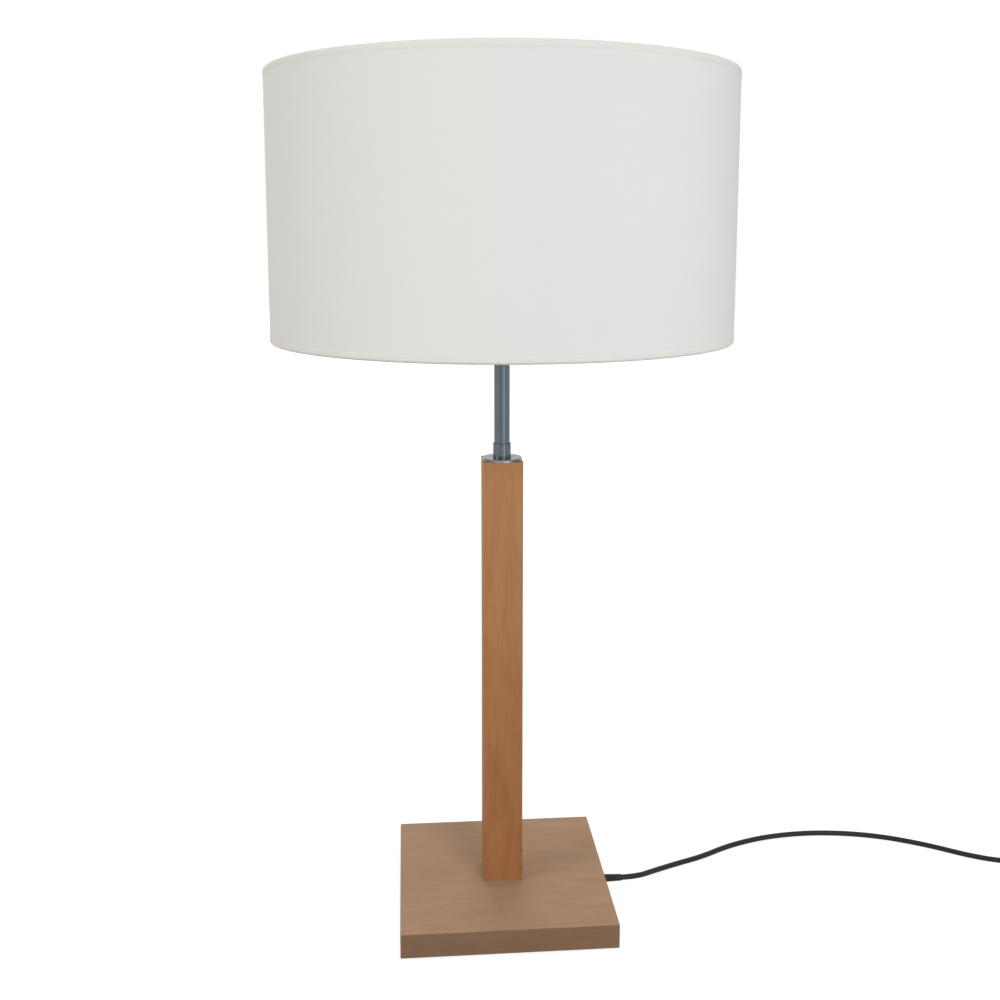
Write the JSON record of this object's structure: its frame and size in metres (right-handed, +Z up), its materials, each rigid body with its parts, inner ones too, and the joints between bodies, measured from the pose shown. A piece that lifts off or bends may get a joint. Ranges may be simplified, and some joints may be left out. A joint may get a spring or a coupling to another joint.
{
  "type": "column table lamp",
  "caption": "Table lamp with a square wooden base and post, a thin steel stem, a wide white drum shade, and a black cord with an in-line rocker switch.",
  "frame": {"origin": "centre of the square base on the surface that the lamp stands on", "axes": "+Z up along the post, +X to the side that the cord leaves, -Y to the side that the picture mostly shows"},
  "size_m": [0.8536, 0.4, 0.75],
  "materials": {
    "beech_wood": "satin lacquered, light beech with fine dark flecks",
    "brushed_steel": "fine brushed, satin",
    "zinc_steel": "bright zinc plated",
    "shade_fabric": "off-white linen-look cloth on a stiff backing, matt",
    "white_wire": "white powder coat",
    "white_plastic": "satin moulded",
    "black_plastic": "satin moulded",
    "black_cord": "soft black sheath",
    "core_insulation": "smooth insulation",
    "felt": "dense felt",
    "opal_glass": "opal, satin",
    "brass": "bright turned",
    "cap_aluminium": "bright rolled",
    "black_insulator": "glassy black"
  },
  "bodies": {
    "lamp": {"felt_pads": "felt", "base_board": "beech_wood", "recess_cover": "black_plastic", "cover_screws": "zinc_steel", "column_post": "beech_wood", "column_screws": "zinc_steel", "threaded_rod": "zinc_steel", "base_washer": "zinc_steel", "base_lock_washer": "zinc_steel", "base_nut": "zinc_steel", "cap_disc": "brushed_steel", "stem_collar": "brushed_steel", "stem_tube": "brushed_steel", "holder_dome": "white_plastic", "holder_grub_screw": "zinc_steel", "holder_sleeve": "white_plastic", "holder_insert": "white_plastic", "holder_thread_shell": "brass", "centre_contact": "brass", "terminal_screws": "brass", "lower_shade_ring": "white_plastic", "upper_shade_ring": "white_plastic", "bulb_contact": "brass", "bulb_insulator": "black_insulator", "bulb_cap": "cap_aluminium", "bulb_glass": "opal_glass", "shade_skin": "shade_fabric", "top_wire_ring": "white_wire", "shade_spider": "white_wire", "inner_flex": "black_cord", "flex_cores": "core_insulation", "cord_gland": "black_plastic", "supply_cord": "black_cord", "switch_base": "black_plastic", "switch_cover": "black_plastic", "switch_contacts": "brass", "switch_screws": "zinc_steel", "switch_lead": "black_cord", "cord_coil": "black_cord", "cord_tie": "black_plastic", "plug_lead": "black_cord", "plug_body": "black_plastic", "plug_pins": "brass", "plug_sleeves": "black_plastic"},
    "rocker": {"switch_rocker": "black_plastic"}
  },
  "joints": [
    {"name": "rocker_tilt", "type": "hinge", "parent": "lamp", "child": "rocker", "pos_m": [0.551, 0.004, 0.0122], "axis": [0, 1, 0], "range_deg": [0, 16]}
  ]
}
